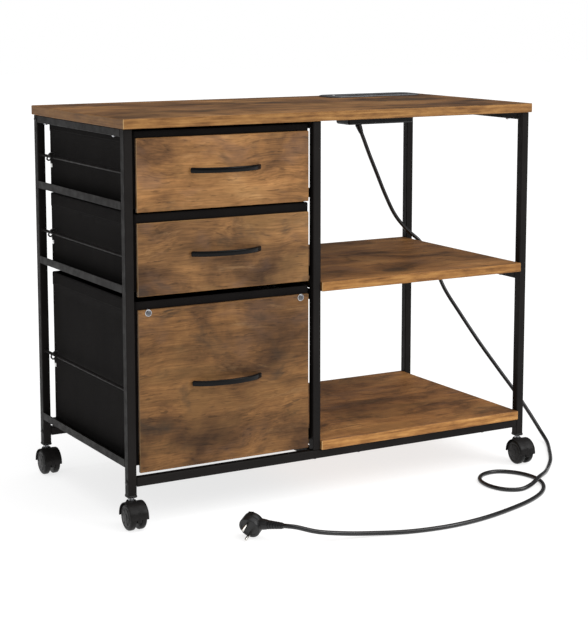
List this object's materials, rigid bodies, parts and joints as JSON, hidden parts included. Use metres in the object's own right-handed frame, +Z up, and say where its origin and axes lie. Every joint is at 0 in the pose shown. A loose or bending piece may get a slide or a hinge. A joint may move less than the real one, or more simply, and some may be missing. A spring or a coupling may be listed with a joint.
{
  "type": "mobile printer stand",
  "caption": "Rolling steel-framed printer stand with a top board and power outlet, open shelves, and fabric drawers with a file drawer.",
  "frame": {"origin": "on the floor, under the middle of the stand without its mains lead", "axes": "+X to the right along the width, from the drawers to the open shelves; +Y to the back, so the drawers open towards -Y; +Z up"},
  "size_m": [0.9883, 0.6854, 0.7033],
  "materials": {
    "black_coated_steel": "fine-textured black powder coat",
    "rustic_board": "rustic brown wood-grain board",
    "black_fabric": "matt black non-woven fabric",
    "handle_black": "smooth semi-gloss black",
    "zinc_plated": "bright zinc plate",
    "black_plastic": "satin black",
    "wheel_nylon": "satin black nylon",
    "outlet_dark_grey": "satin dark grey",
    "cord_pvc": "satin black flexible plastic"
  },
  "bodies": {
    "frame": {"base_rail_middle": "black_coated_steel", "base_rail_right": "black_coated_steel", "base_tube_back": "black_coated_steel", "base_tube_front": "black_coated_steel", "cord_gland": "cord_pvc", "lower_shelf": "rustic_board", "mains_cord": "cord_pvc", "mains_plug": "cord_pvc", "middle_shelf": "rustic_board", "outlet_bezel": "outlet_dark_grey", "outlet_housing": "black_plastic", "outlet_insert": "black_plastic", "post_back_left": "black_coated_steel", "post_back_middle": "black_coated_steel", "post_back_right": "black_coated_steel", "post_front_left": "black_coated_steel", "post_front_middle": "black_coated_steel", "post_front_right": "black_coated_steel", "runner_left_1": "black_coated_steel", "runner_left_2": "black_coated_steel", "runner_left_3": "black_coated_steel", "runner_middle_1": "black_coated_steel", "runner_middle_2": "black_coated_steel", "runner_middle_3": "black_coated_steel", "shelf_rail_middle": "black_coated_steel", "shelf_rail_right": "black_coated_steel", "side_rod_1": "black_coated_steel", "side_rod_2": "black_coated_steel", "side_rod_3": "black_coated_steel", "top_board": "rustic_board", "top_rail_left": "black_coated_steel", "top_rail_middle": "black_coated_steel", "top_rail_right": "black_coated_steel", "top_tube_back": "black_coated_steel"},
    "drawer_upper": {"drawer_box_upper": "black_fabric", "drawer_front_upper": "rustic_board", "drawer_handle_upper": "handle_black"},
    "drawer_middle": {"drawer_box_middle": "black_fabric", "drawer_front_middle": "rustic_board", "drawer_handle_middle": "handle_black"},
    "drawer_file": {"drawer_box_file": "black_fabric", "drawer_front_file": "rustic_board", "drawer_handle_file": "handle_black", "file_bar_left": "zinc_plated", "file_bar_right": "zinc_plated"},
    "caster_front_left": {"caster_hood_front_left": "black_plastic"},
    "wheel_left_front_left": {"caster_wheel_left_front_left": "wheel_nylon"},
    "wheel_right_front_left": {"caster_wheel_right_front_left": "wheel_nylon"},
    "caster_front_right": {"caster_hood_front_right": "black_plastic"},
    "wheel_left_front_right": {"caster_wheel_left_front_right": "wheel_nylon"},
    "wheel_right_front_right": {"caster_wheel_right_front_right": "wheel_nylon"},
    "caster_back_left": {"caster_hood_back_left": "black_plastic"},
    "wheel_left_back_left": {"caster_wheel_left_back_left": "wheel_nylon"},
    "wheel_right_back_left": {"caster_wheel_right_back_left": "wheel_nylon"},
    "caster_back_right": {"caster_hood_back_right": "black_plastic"},
    "wheel_left_back_right": {"caster_wheel_left_back_right": "wheel_nylon"},
    "wheel_right_back_right": {"caster_wheel_right_back_right": "wheel_nylon"}
  },
  "joints": [
    {"name": "drawer_upper_slide", "type": "slide", "parent": "frame", "child": "drawer_upper", "axis": [0, -1, 0], "range_m": [0, 0.28]},
    {"name": "drawer_middle_slide", "type": "slide", "parent": "frame", "child": "drawer_middle", "axis": [0, -1, 0], "range_m": [0, 0.28]},
    {"name": "drawer_file_slide", "type": "slide", "parent": "frame", "child": "drawer_file", "axis": [0, -1, 0], "range_m": [0, 0.28]},
    {"name": "caster_front_left_swivel", "type": "hinge", "parent": "frame", "child": "caster_front_left", "pos_m": [-0.41125, -0.18425, 0.05], "axis": [0, 0, 1], "continuous": true},
    {"name": "wheel_left_front_left_roll", "type": "hinge", "parent": "caster_front_left", "child": "wheel_left_front_left", "pos_m": [-0.41125, -0.19575, 0.0235], "axis": [1, 0, 0], "continuous": true},
    {"name": "wheel_right_front_left_roll", "type": "hinge", "parent": "caster_front_left", "child": "wheel_right_front_left", "pos_m": [-0.41125, -0.19575, 0.0235], "axis": [1, 0, 0], "continuous": true},
    {"name": "caster_front_right_swivel", "type": "hinge", "parent": "frame", "child": "caster_front_right", "pos_m": [0.41125, -0.18425, 0.05], "axis": [0, 0, 1], "continuous": true},
    {"name": "wheel_left_front_right_roll", "type": "hinge", "parent": "caster_front_right", "child": "wheel_left_front_right", "pos_m": [0.41125, -0.19575, 0.0235], "axis": [1, 0, 0], "continuous": true},
    {"name": "wheel_right_front_right_roll", "type": "hinge", "parent": "caster_front_right", "child": "wheel_right_front_right", "pos_m": [0.41125, -0.19575, 0.0235], "axis": [1, 0, 0], "continuous": true},
    {"name": "caster_back_left_swivel", "type": "hinge", "parent": "frame", "child": "caster_back_left", "pos_m": [-0.41125, 0.20725, 0.05], "axis": [0, 0, 1], "continuous": true},
    {"name": "wheel_left_back_left_roll", "type": "hinge", "parent": "caster_back_left", "child": "wheel_left_back_left", "pos_m": [-0.41125, 0.19575, 0.0235], "axis": [1, 0, 0], "continuous": true},
    {"name": "wheel_right_back_left_roll", "type": "hinge", "parent": "caster_back_left", "child": "wheel_right_back_left", "pos_m": [-0.41125, 0.19575, 0.0235], "axis": [1, 0, 0], "continuous": true},
    {"name": "caster_back_right_swivel", "type": "hinge", "parent": "frame", "child": "caster_back_right", "pos_m": [0.41125, 0.20725, 0.05], "axis": [0, 0, 1], "continuous": true},
    {"name": "wheel_left_back_right_roll", "type": "hinge", "parent": "caster_back_right", "child": "wheel_left_back_right", "pos_m": [0.41125, 0.19575, 0.0235], "axis": [1, 0, 0], "continuous": true},
    {"name": "wheel_right_back_right_roll", "type": "hinge", "parent": "caster_back_right", "child": "wheel_right_back_right", "pos_m": [0.41125, 0.19575, 0.0235], "axis": [1, 0, 0], "continuous": true}
  ]
}
